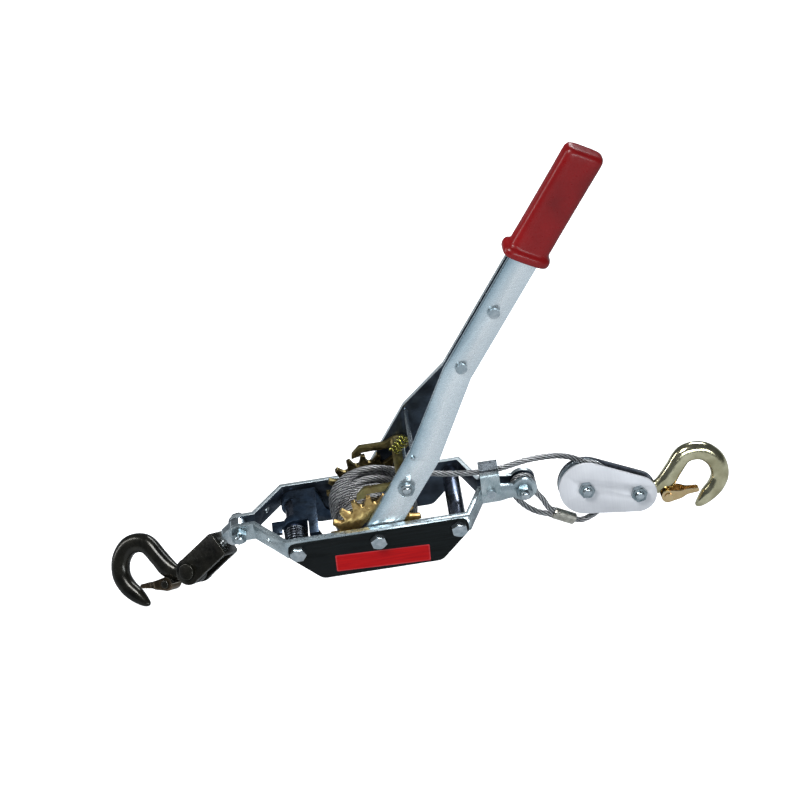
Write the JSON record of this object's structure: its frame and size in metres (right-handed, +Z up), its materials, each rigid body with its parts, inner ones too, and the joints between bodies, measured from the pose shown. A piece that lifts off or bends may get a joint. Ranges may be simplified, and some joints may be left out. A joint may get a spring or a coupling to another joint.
{
  "type": "come-along winch",
  "caption": "Hand-operated ratchet winch with a long gripped handle, geared drum in a twin-plate frame, doubled wire rope with a pulley block, and latched hooks at both ends.",
  "frame": {"origin": "centre of the bounding box at its lowest level", "axes": "+X from the anchor hook towards the pulley block and load hook, -Y the near side with the bolt heads, +Z up"},
  "size_m": [0.5792, 0.0978, 0.4359],
  "materials": {
    "zinc_hardware": "bright zinc plated steel",
    "zinc_plate": "bluish zinc plated steel strip with a brushed grain",
    "yellow_zinc": "yellow passivated zinc plated steel",
    "black_steel": "semi-gloss black finished forged steel",
    "dark_zinc": "dark bluish zinc plated steel",
    "wire_rope": "bright stranded steel wire rope",
    "white_zinc": "light grey plated steel with a soft sheen",
    "label": "black self-adhesive label with a blank red panel",
    "grip": "glossy dark red moulded vinyl",
    "bronze_latch": "dark bronze plated steel"
  },
  "bodies": {
    "frame": {"near_side_plate": "zinc_plate", "far_side_plate": "zinc_plate", "near_label": "label", "far_label": "label", "axle_bolt": "zinc_hardware", "axle_nut": "zinc_hardware", "left_cross_bolt": "zinc_hardware", "left_cross_nut": "zinc_hardware", "right_cross_bolt": "zinc_hardware", "right_cross_nut": "zinc_hardware", "axle_sleeve": "zinc_hardware", "left_spacer_tube": "zinc_hardware", "right_spacer_tube": "zinc_hardware", "anchor_bolt": "zinc_hardware", "anchor_nut": "zinc_hardware", "rope_anchor_bolt": "zinc_hardware", "rope_anchor_nut": "zinc_hardware", "rope_saddle": "zinc_hardware", "saddle_bolt": "zinc_hardware", "rope_thimble": "zinc_hardware", "rope_ferrule": "zinc_hardware", "rope_upper_run": "wire_rope", "rope_lower_run": "wire_rope", "rope_eye": "wire_rope", "stop_pawl_spring": "zinc_hardware"},
    "drum": {"drum_tube": "zinc_hardware", "near_ratchet_wheel": "yellow_zinc", "far_ratchet_wheel": "yellow_zinc", "rope_coil": "wire_rope"},
    "handle": {"near_handle_arm": "zinc_plate", "far_handle_arm": "zinc_plate", "lower_handle_rivet": "zinc_hardware", "upper_handle_rivet": "zinc_hardware", "pawl_bolt": "zinc_hardware", "pawl_nut": "zinc_hardware", "handle_grip": "grip", "spring_pin": "zinc_hardware", "drive_pawl_spring": "yellow_zinc"},
    "drive_pawl": {"drive_pawl": "yellow_zinc"},
    "stop_pawl": {"stop_pawl": "dark_zinc"},
    "anchor_link": {"swivel_tongue": "zinc_hardware"},
    "hook_yoke": {"hook_yoke": "black_steel", "yoke_pin": "black_steel", "cotter_pin": "zinc_hardware"},
    "anchor_hook": {"anchor_hook": "black_steel", "anchor_hook_rivet": "black_steel"},
    "anchor_latch": {"anchor_hook_latch": "bronze_latch"},
    "pulley_block": {"near_block_plate": "white_zinc", "far_block_plate": "white_zinc", "sheave_bolt": "zinc_hardware", "sheave_nut": "zinc_hardware", "hook_bolt": "zinc_hardware", "hook_nut": "zinc_hardware", "rope_turn": "wire_rope"},
    "sheave": {"sheave": "zinc_hardware"},
    "load_hook": {"load_hook": "yellow_zinc", "load_hook_rivet": "yellow_zinc"},
    "load_latch": {"load_hook_latch": "yellow_zinc"}
  },
  "joints": [
    {"name": "handle_swing", "type": "hinge", "parent": "frame", "child": "handle", "pos_m": [-0.03592, -0.00156, 0.07859], "axis": [0, -1, 0], "range_deg": [-35, 60]},
    {"name": "block_travel", "type": "slide", "parent": "frame", "child": "pulley_block", "axis": [1, 0, 0], "range_m": [0, 0.9048], "deforming": ["rope_upper_run", "rope_lower_run"]},
    {"name": "drum_spin", "type": "hinge", "parent": "frame", "child": "drum", "pos_m": [-0.03592, -0.00156, 0.07859], "axis": [0, 1, 0], "range_deg": [0, 2881]},
    {"name": "sheave_spin", "type": "hinge", "parent": "pulley_block", "child": "sheave", "pos_m": [0.15768, -0.00156, 0.06909], "axis": [0, 0.9659, -0.2588], "range_deg": [0, 2285]},
    {"name": "drive_pawl_swing", "type": "hinge", "parent": "handle", "child": "drive_pawl", "pos_m": [-0.00408, -0.00156, 0.12886], "axis": [0, -1, 0], "range_deg": [-25, 2], "stiffness_Nm_per_rad": 1},
    {"name": "stop_pawl_swing", "type": "hinge", "parent": "frame", "child": "stop_pawl", "pos_m": [-0.10922, -0.00156, 0.07859], "axis": [0, -1, 0], "range_deg": [-20, 5], "stiffness_Nm_per_rad": 1},
    {"name": "anchor_link_swing", "type": "hinge", "parent": "frame", "child": "anchor_link", "pos_m": [-0.16092, -0.00156, 0.08219], "axis": [0, -1, 0], "range_deg": [-30, 70]},
    {"name": "yoke_swivel", "type": "hinge", "parent": "anchor_link", "child": "hook_yoke", "pos_m": [-0.16092, -0.00156, 0.08219], "axis": [-0.7547, 0, -0.6561], "continuous": true},
    {"name": "anchor_hook_swing", "type": "hinge", "parent": "hook_yoke", "child": "anchor_hook", "pos_m": [-0.20884, -0.00156, 0.04053], "axis": [0.4639, 0.7071, -0.5337], "range_deg": [-60, 25]},
    {"name": "anchor_latch_swing", "type": "hinge", "parent": "anchor_hook", "child": "anchor_latch", "pos_m": [-0.23372, 0.00307, 0.02504], "axis": [0.4639, 0.7071, -0.5337], "range_deg": [0, 30], "stiffness_Nm_per_rad": 0.05},
    {"name": "load_hook_swing", "type": "hinge", "parent": "pulley_block", "child": "load_hook", "pos_m": [0.20474, -0.0046, 0.05776], "axis": [0, 0.9659, -0.2588], "range_deg": [-60, 60]},
    {"name": "load_latch_swing", "type": "hinge", "parent": "load_hook", "child": "load_latch", "pos_m": [0.23124, -0.00693, 0.04906], "axis": [0, -0.9659, 0.2588], "range_deg": [0, 30], "stiffness_Nm_per_rad": 0.05}
  ],
  "couplings": [
    {"joint": "drum_spin", "follows": "block_travel", "rad_per_m": 55.556},
    {"joint": "sheave_spin", "follows": "block_travel", "rad_per_m": 44.053}
  ]
}
